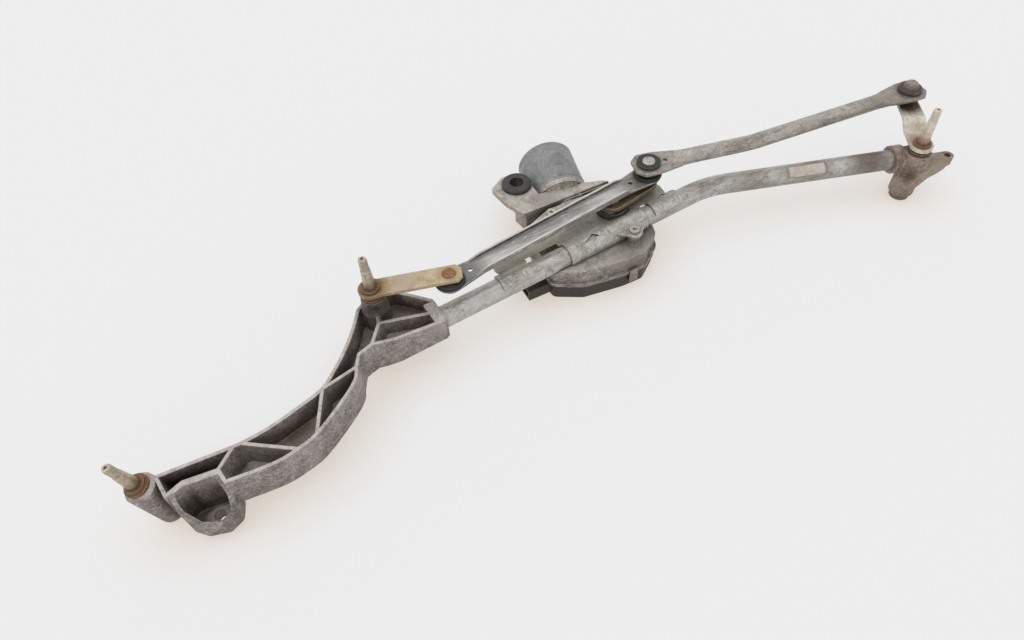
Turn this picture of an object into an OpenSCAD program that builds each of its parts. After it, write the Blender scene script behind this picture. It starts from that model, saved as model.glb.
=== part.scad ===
// Wiper linkage: ribbed cast bracket, frame tube, motor with gear housing, crank, two links, three spindles.
// Millimetres. It lies on its gear cover: +X runs along the tube, +Y to the motor, +Z up the spindles.

/* [Frame tube] */
// Outside diameter of the frame tube
tube_d = 23; // [22:0.5:24]
// Wall thickness of the frame tube
tube_wall = 1.5; // [1.2:0.1:2.5]
// Centreline radius of the bend in the frame tube
bend_r = 120; // [80:5:140]
// Height of the tube axis above the ground
tube_z = 46; // [45:0.5:48]

/* [Cast left bracket] */
// Thickness of the casting walls and ribs
wall = 3.2; // [2.4:0.1:4]
// Height of the pocket floors above the casting underside
cast_floor = 14; // [10:0.5:16]
// Height of the upper rims above the ground
rim_z = 60; // [56:1:64]
// Height of the casting underside above the ground
cast_z = 22; // [18:1:26]
// Lean of the idle spindle away from the casting, in degrees
idle_lean = 11; // [6:1:14]

/* [Spindles] */
// Radius of the spindle shafts
shaft_r = 6; // [5:0.25:6.5]
// Radius of the threaded spindle tips
tip_r = 4; // [3:0.5:4.5]
// Length of the threaded spindle tips
tip_len = 15; // [10:1:18]
// Running clearance between a shaft and its bush
run = 0.05; // [0.03:0.01:0.08]

/* [Levers and links] */
// Thickness of the two levers
lever_t = 4; // [3:0.5:4]
// Width of the two levers
lever_w = 21; // [18:1:24]
// Outside width of the pressed left link
link_w = 22; // [18:1:24]
// Sheet thickness of the left link
link_t = 2; // [1.5:0.1:2.5]
// Diameter of the tubular right link
rod_d = 17; // [14:0.5:18]
// Radius of the link balls
ball_r = 7; // [6:0.25:7.5]

/* [Crank] */
// Throw of the crank
crank_r = 50; // [47:0.5:50]
// Crank angle at rest, in degrees
crank_a = 9.5; // [7:0.5:12]
// Thickness of the crank arm
crank_t = 5; // [4:0.5:5.5]

/* [Motor] */
// Sheet thickness of the motor plate
plate_t = 2.5; // [2:0.25:3]
// Radius of the motor can
can_r = 33; // [30:0.5:33.5]
// Length of the motor can
can_len = 61; // [54:1:64]
// Height of the gear cover
cover_h = 20; // [18:0.5:20.5]
// Wall thickness of the gear cover
cover_t = 2.5; // [2:0.25:3]

/* [Hidden] */
$fn = 48;

// Pivot centres seen from above
mid_c = [-208, 41];
right_c = [416, -51];
out_c = [71.5, 48.5];
idle_c = [-455, -46, 60];
ball_l = [-134, 21];
ball_rt = [454, 14];
pin_c = out_c + crank_r * [cos(crank_a), sin(crank_a)];

// Heights of the layers in the linkage
crank_z = 63;
nut_z = crank_z + crank_t;
link_z = nut_z + 7;
lever_z = 84;
rod_z = 91;
rlever_z = 70;
ball_z = 75.5;

// Frame tube path
tube_a = [-153, 6.6];
tube_b = [190, 35];
tube_c = [407, -35.5];
ang_l = atan2(tube_b[1] - tube_a[1], tube_b[0] - tube_a[0]);
ang_r = atan2(tube_c[1] - tube_b[1], tube_c[0] - tube_b[0]);
len_l = norm(tube_b - tube_a);
len_r = norm(tube_c - tube_b);
turn = ang_l - ang_r;
tan_len = bend_r * tan(turn / 2);
tube_r = tube_d / 2;

// Motor axis, tangent to the worm wheel
mot_a = 79;
worm_c = out_c + 41 * [-sin(mot_a), cos(mot_a)];
worm_z = 27;
mot_tilt = 8;
flange_s = 52;
can_s = 58;

// Fit of parts that are pressed together
press = 0.02;
// Thinning of a tube where it is bent
thin = 0.12;
// Depth of the crimps in the tube
dent = 0.75 * tube_wall;
saddle_r = tube_r + press;
plate_z = tube_z + tube_r + 0.5 - 4.5;
bush_r = shaft_r + 2;

function unit(v) = v / norm(v);
function prev(i, n) = (i + n - 1) % n;
function next(i, n) = (i + 1) % n;

// Parallel outline of a counterclockwise polygon, moved inward by d
function inset(p, d) = [for (i = [0 : len(p) - 1])
  let (n = len(p), e = unit(p[i] - p[prev(i, n)]), f = unit(p[next(i, n)] - p[i]),
    a = [-e[1], e[0]], b = [-f[1], f[0]])
  p[i] + d * (a + b) / (1 + a * b)];

// Direction of a smooth curve at entry i of the list p
function heading(p, i) = unit(p[min(i + 1, len(p) - 1)] - p[max(i - 1, 0)]);

// Point of that curve at share t of the way from entry i to the next
function along(p, i, t) = let (l = norm(p[i + 1] - p[i]), u = t * t, w = u * t)
  (2 * w - 3 * u + 1) * p[i] + (w - 2 * u + t) * l * heading(p, i)
  + (3 * u - 2 * w) * p[i + 1] + (w - u) * l * heading(p, i + 1);

// Stretch of that curve from entry i to entry j
function stretch(p, i, j) = concat([for (m = [i : j - 1], k = [0 : 2]) along(p, m, k / 3)], [p[j]]);

// Polygon with each corner replaced by an arc of radius r
function rounded(p, r, k = 5) = [for (i = [0 : len(p) - 1])
  let (n = len(p), a = unit(p[prev(i, n)] - p[i]), b = unit(p[next(i, n)] - p[i]),
    h = acos(a * b) / 2, c = p[i] + unit(a + b) * r / sin(h),
    s = p[i] + a * r / tan(h) - c, t = p[i] + b * r / tan(h) - c)
  each [for (j = [0 : k]) c + r * unit(s * (k - j) + t * j)]];

module at_pt(p, z = 0) { translate([p[0], p[1], z]) children(); }

// Frame with X along the left straight of the tube, from the bracket end
module on_left() { translate([tube_a[0], tube_a[1], tube_z]) rotate([0, 0, ang_l]) children(); }

// Frame with X along the right straight of the tube, from the bend corner
module on_right() { translate([tube_b[0], tube_b[1], tube_z]) rotate([0, 0, ang_r]) children(); }

// Frame with Z along the motor axis, from the worm
module on_motor() {
  translate([worm_c[0], worm_c[1], worm_z]) rotate([0, 0, mot_a]) rotate([0, 90 - mot_tilt, 0]) children();
}

// Frame with Z along the idle spindle, from the top of its boss
module on_idle() { translate(idle_c) rotate([0, -idle_lean, 0]) children(); }

module rod_x(r, a, b) { translate([a, 0, 0]) rotate([0, 90, 0]) cylinder(r = r, h = b - a); }

// Bent round bar that follows the frame tube
module tube_bar(r, a, b) {
  on_left() rod_x(r, a, len_l - tan_len + 0.5);
  on_left() translate([len_l - tan_len, -bend_r, 0]) rotate([0, 0, 90 - turn])
    rotate_extrude(angle = turn, $fn = 96) translate([bend_r, 0]) circle(r = r - thin, $fn = 48);
  on_right() rod_x(r, tan_len - 0.5, b);
}

// Flat bar with round ends between two points
module bar2(p, q, rp, rq) {
  d = norm(q - p);
  a = atan2(q[1] - p[1], q[0] - p[0]);
  b = acos((rp - rq) / d);
  m = 10;
  translate(p) rotate(a) polygon(concat(
    [for (i = [0 : m]) let (t = b + (360 - 2 * b) * i / m) rp * [cos(t), sin(t)]],
    [for (i = [0 : m]) let (t = -b + 2 * b * i / m) [d, 0] + rq * [cos(t), sin(t)]]));
}

// Centrelines of the casting rims, front from left to right, then back from right to left
f1 = [-436, -66];
k1 = [-421, -60];
j2 = [-391, -63];
f2 = [-388, -77];
f3 = [-346, -80];
f4 = [-324, -76.5];
f5 = [-305, -70];
f6 = [-271, -46];
f7 = [-255, -31];
f8 = [-250, -19];
f9 = [-243, -6];
f10 = [-228, -1];
f11 = [-205, -6];
f12 = [-156, -8];
e1 = [-156, 5];
b1 = [-156, 21];
b2 = [-173, 39];
b3 = [-188, 53];
b4 = [-208, 57];
b5 = [-225, 46];
b6 = [-238, 25];
b7 = [-254, 4];
b8 = [-270, -13];
b9 = [-286, -27];
b10 = [-314, -36.5];
b11 = [-342, -44];
b12 = [-367, -47];
b13 = [-374, -47];
b14 = [-440, -44];
j1 = [-213, 20];
front = [f2, f3, f4, f5, f6, f7, f8];
back = [b5, b6, b7, b8, b9, b10, b11, b12, b13];
rim = concat([f1, k1, j2], stretch(front, 0, 6), [f9, f10, f11, f12, b1, b2, b3, b4],
  stretch(back, 0, 8), [b14]);
cells = [
  [f1, k1, j2, b13, b14],
  concat(stretch(front, 0, 2), stretch(back, 7, 8), [j2]),
  concat(stretch(front, 2, 3), stretch(back, 4, 7)),
  concat(stretch(front, 3, 6), [b9]),
  concat([f8, f9, f10, j1, mid_c, b4], stretch(back, 0, 4)),
  [f10, f11, f12, e1, j1],
  [j1, e1, b1, b2, b3, b4, mid_c]];
// Point in each pocket that its sides lean towards, rise of its floor, and share of its outline left there
wells = [[[-410, -55], -18, 0.82], [[-362, -64], 0, 0.72], [[-322, -50], 2, 0.72], [[-276, -38], 1, 0.74],
  [[-240, 4], 0, 0.84], [[-190, 3], 8, 0.8], [[-182, 28], 8, 0.8]];
lug = [[-435, -65], [-433, -78], [-422, -89], [-404, -94], [-391, -88], [-386, -73], [-387, -63.4],
  [-421, -60]];
lug_in = [[-430.6, -67.4], [-429, -77], [-420, -86], [-404, -90.4], [-395, -86], [-392.6, -78],
  [-395, -66.8], [-421, -64]];
lug_c = [-408, -77];

// Block with a sloped top, to cut the lug walls down towards the front
module lug_cut() {
  translate([-450, -66, rim_z]) rotate([56, 0, 0]) translate([0, -80, 0]) cube([90, 80, 60]);
}

// Hollow with leaning sides, to cut pocket i out of the casting
module pocket(i) {
  c = wells[i][0];
  z = cast_z + cast_floor + wells[i][1];
  s = wells[i][2];
  h = rim_z + 2 - z;
  translate([c[0], c[1], z]) linear_extrude(h, scale = 1 + (1 / s - 1) * h / (h - 2))
    polygon([for (q = inset(cells[i], wall / 2)) s * (q - c)]);
}

// Ribbed casting with pockets, spindle boss, idle boss, mounting lug and spigot for the tube
module left_bracket() color("#8f8b88") difference() {
  union() {
    difference() {
      union() {
        translate([0, 0, cast_z]) linear_extrude(rim_z - cast_z) polygon(inset(rim, -wall / 2));
        translate([0, 0, 12]) linear_extrude(cast_z - 11) polygon(inset(cells[0], 0.2 - wall / 2));
        difference() {
          translate([0, 0, 8]) linear_extrude(rim_z - 8) polygon(rounded(lug, 5));
          lug_cut();
        }
      }
      for (i = [0 : 6]) pocket(i);
      translate([0, 0, 12]) linear_extrude(rim_z) polygon(rounded(lug_in, 4));
      translate([0, 100, 0]) rotate([90, 0, 0]) linear_extrude(200) polygon([[-150, cast_z - 1],
        [-150, tube_z - tube_r - 1.5], [-154, tube_z - tube_r - 1.5], [-226, cast_z - 1]]);
    }
    at_pt(mid_c, cast_z) cylinder(r = bush_r + 6, h = rim_z - cast_z);
    at_pt(mid_c, rim_z) cylinder(r1 = bush_r + 6, r2 = bush_r + 4, h = lever_z - 7 - rim_z);
    on_left() translate([-12, -14, -tube_r - 2.3]) cube([12, 28, rim_z - tube_z + tube_r + 1.9]);
    on_left() rod_x(tube_r - tube_wall - press, -2, 46);
    at_pt(lug_c) cylinder(r = 10, h = 12);
    translate([0, 0, 11]) linear_extrude(3.5) bar2(lug_c - [4, 0], lug_c + [4, 0], 8.5, 8.5);
    on_idle() translate([0, 0, -52]) cylinder(r = bush_r + 6, h = 49);
    on_idle() translate([0, 0, -3]) cylinder(r1 = bush_r + 6, r2 = bush_r + 3.5, h = 3);
  }
  at_pt(mid_c, cast_z - 5) cylinder(r = bush_r + press, h = 80);
  at_pt(lug_c, -1) cylinder(r = 5.5, h = 20);
  on_idle() translate([0, 0, -60]) cylinder(r = bush_r + press, h = 70);
}

module frame_tube() color("#9a9894") difference() {
  tube_bar(tube_r, 0, len_r);
  tube_bar(tube_r - tube_wall, -1, len_r + 1);
  on_left() translate([0, 0, tube_r + 4 - dent]) rod_x(4, 9, 21);
  on_left() translate([0, 0, tube_r + 4 - dent]) rod_x(4, 30, 42);
  on_left() rotate([55, 0, 0]) translate([0, 0, tube_r + 4 - dent]) rod_x(4, 9, 21);
}

ear_c = [464, -58];
// Casting on the right end of the tube, with the spindle boss, a foot and a pointed mounting ear
module right_bracket() color("#7a706a") difference() {
  union() {
    at_pt(right_c, 8) cylinder(r = bush_r + 6, h = rlever_z - 14);
    at_pt(right_c) cylinder(r = bush_r + 3, h = 9);
    on_right() rod_x(tube_r + 4.5, len_r - 9, len_r + 3);
    on_right() translate([len_r - 4, -18, -12.5]) cube([20, 24, 25]);
    translate([0, 0, 34]) linear_extrude(10) bar2(right_c, ear_c, 15, 7);
    at_pt(right_c) rotate([0, 0, atan2(ear_c[1] - right_c[1], ear_c[0] - right_c[0])]) translate([0, 8, 0])
      rotate([90, 0, 0]) linear_extrude(16) polygon([[0, 12], [14, 13], [37, 34.5], [37, 44.5], [9, 58],
        [0, 58]]);
  }
  on_right() rod_x(saddle_r, len_r - 40, len_r);
  at_pt(right_c, -1) cylinder(r = bush_r + press, h = rlever_z + 5);
  at_pt(ear_c, 30) cylinder(r = 3.5, h = 20);
}

// Saddle of sheet bent over the tube, from a to b along it, its front edge at the angle low
module saddle(a, b, low = 35) {
  arc = [for (i = [0 : 12]) let (t = low + (145 - low) * i / 12) [-cos(t), sin(t)]];
  on_left() translate([a, 0, 0]) rotate([90, 0, 90]) linear_extrude(b - a) polygon(concat(
    (saddle_r + plate_t) * arc, [for (i = [12 : -1 : 0]) (saddle_r + 0.3) * arc[i]]));
}

scr = [[74, 7], [10, 74], [99, 73]];
// Sheet plate with three saddles over the tube, a window round the output shaft and a tab for the front screw
module motor_plate() color("#b5b6b0") difference() {
  union() {
    difference() {
      translate([0, 0, plate_z]) linear_extrude(plate_t) union() {
        polygon(rounded([[-84, 22], [-2, 26], [60, 30], [136, 35], [138, 56], [112, 82], [10, 82], [-40, 62],
          [-78, 50]], 8));
        translate(scr[0]) circle(r = 9);
        translate(scr[0]) polygon([[-24, 9], [-8, -4], [8, -4], [24, 10]]);
      }
      on_left() rod_x(saddle_r + 1.3, 0, 340);
      on_left() rod_x(saddle_r + 5, 107, 147);
    }
    saddle(68, 104);
    saddle(150, 250, -5);
    saddle(262, 300);
  }
  at_pt(out_c, plate_z - 20) cylinder(r = seal_r + 0.5, h = 40);
  for (p = scr) at_pt(p, plate_z - 1) cylinder(r = 3.2, h = 10);
  translate([0, 0, plate_z - 2]) linear_extrude(12) polygon([[17, 15], [31, 23], [37, 17.5]]);
  translate([0, 0, plate_z - 2]) linear_extrude(12) polygon([[120, 34.5], [132, 41], [136, 37]]);
  for (x = [72, 92, 160, 196, 268, 290]) on_left() rotate([24, 0, 0])
    translate([x, 0, saddle_r + plate_t - 0.8]) {
      translate([0, -5, 0]) cube([1.4, 10, 4]);
      translate([5, -5, 0]) cube([1.4, 10, 4]);
    }
}

seal_r = 18;
hous = [[-24, 10], [5, -7], [50, -14], [76, -14], [101, 4], [109, 30], [109, 66], [92, 90], [50, 98],
  [2, 94], [-24, 62]];
ear_g = [-3, 132];
ear_z = 53;
ear_t = 6;
ear_r = 12;
// Gear housing casting: wheel chamber, worm tunnel, motor flange, screw bosses, tube trough and grommet ear
module gear_housing() color("#b0aaa2") difference() {
  union() {
    translate([0, 0, cover_h]) linear_extrude(22) polygon(rounded(hous, 10));
    translate([0, 0, cover_h]) linear_extrude(4) polygon(rounded(inset(hous, -2.5), 12));
    at_pt(out_c, 40) cylinder(r = 14, h = 22);
    for (p = scr) at_pt(p, 30) cylinder(r = 7, h = plate_z - 30);
    intersection() {
      on_motor() {
        translate([0, 0, 28]) cylinder(r1 = 22, r2 = 26.5, h = 19);
        translate([0, 0, 47]) cylinder(r1 = 26.5, r2 = can_r - 0.5, h = flange_s - 46.5);
        for (a = [-58, -32, 32, 58]) rotate([0, 0, a]) translate([-30, -1.5, 34])
          cube([26, 3, flange_s - 33]);
      }
      translate([-60, 40, cover_h + 1]) cube([200, 120, 60]);
    }
    for (p = [[-9, 1.5], [28, -10], [89, -4.5], [104, 16]]) at_pt(p, cover_h) cylinder(r = 4, h = 10);
    on_motor() translate([0, 0, flange_s]) cylinder(r = can_r + 0.5, h = can_s - flange_s);
    on_motor() translate([0, 0, flange_s]) linear_extrude(can_s - flange_s) bar2([0, 41], [0, -41], 6, 6);
    translate([0, 0, ear_z]) linear_extrude(ear_t) polygon(rounded([[-18, 86], [20, 86], [12, 104],
      [11, 141], [4, 152], [-12, 152], [-31, 140], [-27, 112]], 4));
    translate([0, 0, 30]) linear_extrude(ear_z + ear_t - 30.5)
      polygon([[-15, 87], [18, 87], [10, 103], [-18, 108]]);
    translate([0, 0, 38]) linear_extrude(18)
      polygon(rounded([[32, 85], [101, 85], [87, 92], [61, 101], [32, 101]], 3));
  }
  on_left() rod_x(tube_r + 0.7, 80, 330);
  on_left() translate([80, -tube_r - 0.7, 0]) cube([250, tube_d + 1.4, 40]);
  on_left() translate([140, -saddle_r - plate_t - 0.4, -2]) cube([120, saddle_r + plate_t, 40]);
  at_pt(out_c, cover_h - 1) cylinder(r = 36, h = 12.5);
  at_pt(out_c, cover_h - 1) cylinder(r = shaft_r + 3 + press, h = 60);
  on_motor() translate([0, 0, -24]) cylinder(r = 9, h = flange_s + 22);
  on_motor() translate([0, 0, 40]) cylinder(r = 4 + run, h = 60);
  on_motor() translate([0, 0, flange_s + 2]) cylinder(r = can_r - 3, h = 20);
  translate([0, 0, cover_h - 1]) linear_extrude(9) polygon(rounded([[-19, 14], [8, -1], [50, -8], [70, -8],
    [70, 8], [34, 18], [8, 40], [-19, 40]], 4));
  for (p = scr) at_pt(p, plate_z - 14) cylinder(r = 2.5 + press, h = 20);
  at_pt(ear_g, ear_z - 1) cylinder(r = ear_r, h = ear_t + 2);
  for (p = mot_holes) on_motor() translate([p[0], p[1], flange_s - 1]) cylinder(r = 2 + press, h = 30);
}

mot_holes = [[0, 41], [0, -41]];
// Round steel can with a stepped end and two fixing ears
module motor_can() color("#8f9190") on_motor() difference() {
  union() {
    translate([0, 0, can_s]) cylinder(r = can_r, h = can_len - 5);
    translate([0, 0, can_s + can_len - 5]) cylinder(r1 = can_r, r2 = can_r - 2, h = 3);
    translate([0, 0, can_s + can_len - 2]) cylinder(r1 = can_r - 2, r2 = can_r - 6, h = 2);
    translate([0, 0, can_s + can_len]) cylinder(r1 = 14, r2 = 11, h = 4);
    translate([0, 0, can_s]) linear_extrude(3) bar2([0, 41], [0, -41], 6, 6);
    translate([0, 0, can_s]) cylinder(r = can_r + 0.5, h = 3);
    translate([0, 0, can_s + 5]) cylinder(r = can_r + 0.4, h = 1.6);
  }
  translate([0, 0, can_s - 1]) cylinder(r = can_r - 2, h = can_len - 5);
  translate([0, 0, can_s + can_len - 10]) cylinder(r = 7 + press, h = 12);
  for (p = mot_holes) translate([p[0], p[1], can_s - 1]) cylinder(r = 2.3, h = 9);
}

module rear_bush() color("#b08d57") on_motor() translate([0, 0, can_s + can_len - 6]) difference() {
  cylinder(r = 7, h = 8);
  translate([0, 0, -1]) cylinder(r = 4 + run, h = 20);
}

module magnets() color("#4b4a4c") on_motor() translate([0, 0, can_s + 13]) difference() {
  intersection() {
    cylinder(r = can_r - 2 - press, h = can_len - 21);
    union() {
      translate([-18, 12, 0]) cube([36, 40, can_len]);
      translate([-18, -52, 0]) cube([36, 40, can_len]);
    }
  }
  translate([0, 0, -1]) cylinder(r = 22, h = can_len);
}

module brush_holder() color("#2e2c2b") on_motor() translate([0, 0, flange_s + 2]) difference() {
  cylinder(r = can_r - 3.3, h = 4);
  translate([0, 0, -1]) cylinder(r = 12, h = 10);
}

module motor_screws() color("#c8c4ba") for (p = mot_holes) on_motor() translate([p[0], p[1], 0]) {
  translate([0, 0, flange_s]) cylinder(r = 2, h = can_s + 3 - flange_s);
  translate([0, 0, can_s + 3]) cylinder(r = 4, h = 3);
}

board_z = cover_h - 8;
posts = [[-8, 24], [14, 8], [44, 0]];
// Gear cover with the connector socket and posts for the circuit board
module gear_cover() color("#4a4546") difference() {
  union() {
    linear_extrude(cover_h) polygon(rounded(inset(hous, 0.5), 9));
    translate([-50, 16, 3]) cube([30, 26, 14]);
  }
  difference() {
    translate([0, 0, cover_t]) linear_extrude(cover_h) polygon(rounded(inset(hous, cover_t + 0.5), 7));
    for (p = posts) at_pt(p) cylinder(r = 3, h = board_z);
  }
  translate([-51, 18.5, 5.5]) cube([22, 21, 9]);
  for (i = [0 : 3]) translate([-30, 20.5 + 5 * i - press, 9.5 - press])
    cube([14, 1.2 + 2 * press, 1.2 + 2 * press]);
}

// Spring clip that hooks over the cover and the rim of the housing, w wide
module clip(w) {
  translate([-0.5, 0, cover_h - 12]) cube([4.5, w, 1.4]);
  translate([2.6, 0, cover_h - 12]) cube([1.4, w, 17.4]);
  translate([0, 0, cover_h + 4]) cube([4, w, 1.4]);
}

module cover_clips() color("#bdbab2") {
  translate([hous[5][0], hous[5][1] + 4, 0]) clip(9);
  translate([hous[5][0], hous[6][1] - 14, 0]) clip(9);
  translate([hous[2][0] + 6, hous[2][1], 0]) rotate([0, 0, -90]) clip(10);
}

module connector_pins() color("#c9a24a") for (i = [0 : 3])
  translate([-44, 20.5 + 5 * i, 9.5]) cube([26, 1.2, 1.2]);

module circuit_board() color("#2f5b3a") translate([0, 0, board_z]) linear_extrude(1.6)
  polygon(rounded([[-17, 16], [10, 2], [48, -6], [60, -6], [60, 6], [24, 16], [4, 34], [-17, 34]], 3));

module grommet() color("#3d3a39") at_pt(ear_g, ear_z - 4) difference() {
  union() {
    cylinder(r1 = ear_r + 1, r2 = ear_r + 3, h = 4);
    translate([0, 0, 4]) cylinder(r = ear_r - press, h = ear_t);
    translate([0, 0, 4 + ear_t]) cylinder(r = ear_r + 5, h = 3);
    translate([0, 0, 7 + ear_t]) cylinder(r1 = ear_r + 5, r2 = ear_r + 3.5, h = 1.5);
  }
  translate([0, 0, -1]) cylinder(r = 8, h = 30);
}

module plate_screws() color("#d8d2c8") for (p = scr) at_pt(p) difference() {
  union() {
    translate([0, 0, plate_z - 12]) cylinder(r = 2.5, h = 12 + plate_t);
    translate([0, 0, plate_z + plate_t]) cylinder(r = 5.5, h = 3.2);
  }
  translate([0, 0, plate_z + plate_t + 1.6]) cylinder(r = 2.4, h = 4, $fn = 6);
}

module bush(r, h) difference() {
  cylinder(r = r, h = h);
  translate([0, 0, -1]) cylinder(r = shaft_r + run, h = h + 2);
}

module output_bush() color("#b08d57") at_pt(out_c, 33) bush(shaft_r + 3, 29.5);
module shaft_seal() color("#242222") at_pt(out_c, plate_z + plate_t + 0.5) difference() {
  cylinder(r1 = seal_r, r2 = seal_r - 1.5, h = 5);
  translate([0, 0, -1]) cylinder(r = 14 + press, h = 10);
}

module left_bush() color("#b08d57") at_pt(mid_c, cast_z - 2) bush(bush_r, lever_z - 7 - cast_z + 2);
module right_bush() color("#b08d57") at_pt(right_c, 4) bush(bush_r, rlever_z - 10);
module idle_bush() color("#b08d57") on_idle() translate([0, 0, -50]) bush(bush_r, 50);

module armature_shaft() color("#c9c6c0") on_motor() {
  translate([0, 0, -20]) cylinder(r = 4, h = can_s + can_len + 21);
  for (i = [-4 : 4]) translate([0, 0, i * 4 - 1]) cylinder(r1 = 6, r2 = 4.6, h = 2);
}

module armature_core() color("#77706a") on_motor() translate([0, 0, can_s + 15]) difference() {
  cylinder(r = 21, h = can_len - 25);
  translate([0, 0, -1]) cylinder(r = 4 + press, h = can_len);
  for (i = [0 : 7]) rotate([0, 0, i * 45]) translate([12, -1.5, -1]) cube([20, 3, can_len]);
}

module commutator() color("#a8663c") on_motor() translate([0, 0, can_s + 1]) difference() {
  cylinder(r = 10, h = 14);
  translate([0, 0, -1]) cylinder(r = 4 + press, h = 20);
}

module worm_wheel() color("#d9d2bf") at_pt(out_c, cover_h + 3) difference() {
  cylinder(r = 34.4, h = 7);
  translate([0, 0, -1]) cylinder(r = shaft_r + press, h = 12);
  for (i = [0 : 59]) rotate([0, 0, 6 * i]) translate([33, -0.9, -1]) cube([4, 1.8, 12]);
}

module output_shaft() color("#c9c6c0") at_pt(out_c) {
  translate([0, 0, cover_h + 1]) cylinder(r = shaft_r, h = crank_z - cover_h - 1);
  translate([0, 0, crank_z]) cylinder(r = 4.5, h = crank_t);
  translate([0, 0, crank_z + crank_t]) cylinder(r = 4, h = 5.6);
}

module crank_arm() color("#a08c65") difference() {
  translate([0, 0, crank_z]) linear_extrude(crank_t) bar2(out_c, pin_c, 14, 12);
  at_pt(out_c, crank_z - 1) cylinder(r = 4.5 + press, h = 20);
  at_pt(pin_c, crank_z - 1) cylinder(r = 4.5 + press, h = 20);
}

module crank_nut() color("#b9b4a8") at_pt(out_c, nut_z) difference() {
  cylinder(r = 7.5, h = 5, $fn = 6);
  translate([0, 0, -1]) cylinder(r = 4 + press, h = 10);
}

// Ball on a neck, standing on a flange at z
module ball_stud(z, h, shank) {
  translate([0, 0, z - shank]) cylinder(r = 4.5, h = shank + h);
  translate([0, 0, z]) cylinder(r = 6.5, h = 1.4);
  translate([0, 0, z + h]) sphere(r = ball_r);
}

module lower_ball_stud() color("#c2beb6") at_pt(pin_c) ball_stud(nut_z, ball_z - nut_z, crank_t);

// Angle of the left link and its length
ll_a = atan2(pin_c[1] - ball_l[1], pin_c[0] - ball_l[0]);
ll_d = norm(pin_c - ball_l);
module on_ll() { translate([ball_l[0], ball_l[1], 0]) rotate([0, 0, ll_a]) children(); }

module left_link() color("#a3a29e") on_ll() difference() {
  union() {
    translate([24, -link_w / 2, link_z]) cube([ll_d - 48, link_w, 7]);
    translate([0, 0, link_z]) linear_extrude(2.5) bar2([0, 0], [34, 0], 15, link_w / 2);
    translate([0, 0, link_z]) linear_extrude(2.5) bar2([ll_d, 0], [ll_d - 34, 0], 15, link_w / 2);
  }
  translate([20, -link_w / 2 + link_t, link_z + link_t + 0.5]) cube([ll_d - 40, link_w - 2 * link_t, 10]);
  translate([0, 40, link_z]) rotate([90, 0, 0]) linear_extrude(80) polygon([[20, 2.5], [25, 2.5], [44, 7.6],
    [44, 12], [20, 12]]);
  translate([0, 40, link_z]) rotate([90, 0, 0]) linear_extrude(80) polygon([[ll_d - 20, 2.5], [ll_d - 20, 12],
    [ll_d - 44, 12], [ll_d - 44, 7.6], [ll_d - 25, 2.5]]);
  translate([24, 0, link_z - 1]) cylinder(r = 2.5, h = 12);
  translate([ll_d - 24, 0, link_z - 1]) cylinder(r = 2.5, h = 12);
  for (x = [0, ll_d]) translate([x, 0, link_z - 1]) cylinder(r = 10, h = 12);
}

// Plastic shells that hold the link balls
module left_link_sockets() color("#2b2828") {
  on_ll() translate([ll_d, 0, 0]) difference() {
    union() {
      translate([0, 0, nut_z + 2.2]) cylinder(r = 10 - press, h = 82.5 - nut_z - 2.2);
      translate([0, 0, link_z + 2.5]) cylinder(r1 = 15.5, r2 = 14, h = 4);
    }
    translate([0, 0, ball_z]) sphere(r = ball_r + 0.3);
    translate([0, 0, nut_z]) cylinder(r = 6, h = ball_z - nut_z);
  }
  on_ll() difference() {
    union() {
      translate([0, 0, nut_z + 1]) cylinder(r = 10 - press, h = 82.2 - nut_z - 1);
      translate([0, 0, link_z + 2.5]) cylinder(r1 = 15.5, r2 = 14, h = 4);
    }
    translate([0, 0, ball_z]) sphere(r = ball_r + 0.3);
    translate([0, 0, ball_z]) cylinder(r = 6, h = 20);
  }
}

module lever_ball_stud() color("#c2beb6") at_pt(ball_l) {
  translate([0, 0, ball_z]) sphere(r = ball_r);
  translate([0, 0, ball_z]) cylinder(r = 4.5, h = lever_z - 0.3 - ball_z);
  translate([0, 0, lever_z - 1.3]) cylinder(r = 6.5, h = 1);
}

// Spindle profile from its collar upward: cone, thread and a centre hole in the tip
module spindle_top(h) {
  difference() {
    union() {
      cylinder(r = shaft_r, h = 4);
      translate([0, 0, 4]) cylinder(r1 = shaft_r, r2 = tip_r + 0.8, h = h - tip_len - 4);
      translate([0, 0, h - tip_len]) cylinder(r = tip_r, h = tip_len - 1);
      translate([0, 0, h - 1]) cylinder(r1 = tip_r, r2 = tip_r - 0.8, h = 1);
    }
    translate([0, 0, h - 2]) cylinder(r = 1.6, h = 4);
  }
}

module left_lever() color("#c2b48f") difference() {
  translate([0, 0, lever_z]) linear_extrude(lever_t) difference() {
    translate(mid_c) rotate(atan2(ball_l[1] - mid_c[1], ball_l[0] - mid_c[0])) union() {
      circle(r = lever_w / 2 + 2);
      polygon([[0, -lever_w / 2], [norm(ball_l - mid_c) + 8, -lever_w / 2], [norm(ball_l - mid_c) + 13, -5],
        [norm(ball_l - mid_c) + 13, 5], [norm(ball_l - mid_c) + 8, lever_w / 2], [0, lever_w / 2]]);
    }
  }
  at_pt(mid_c, lever_z - 1) cylinder(r = shaft_r + press, h = 20);
  at_pt(ball_l, lever_z - 1) cylinder(r = 4.5 + press, h = 20);
}

module left_spindle() color("#b5a890") at_pt(mid_c) {
  translate([0, 0, cast_z - 4]) cylinder(r = shaft_r, h = lever_z + lever_t - cast_z + 4);
  translate([0, 0, lever_z + lever_t]) spindle_top(41);
}

module lever_rivet() color("#9b7350") at_pt(ball_l, lever_z) {
  cylinder(r = 4.5, h = lever_t);
  translate([0, 0, lever_t]) cylinder(r1 = 7, r2 = 6, h = 2);
}

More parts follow.
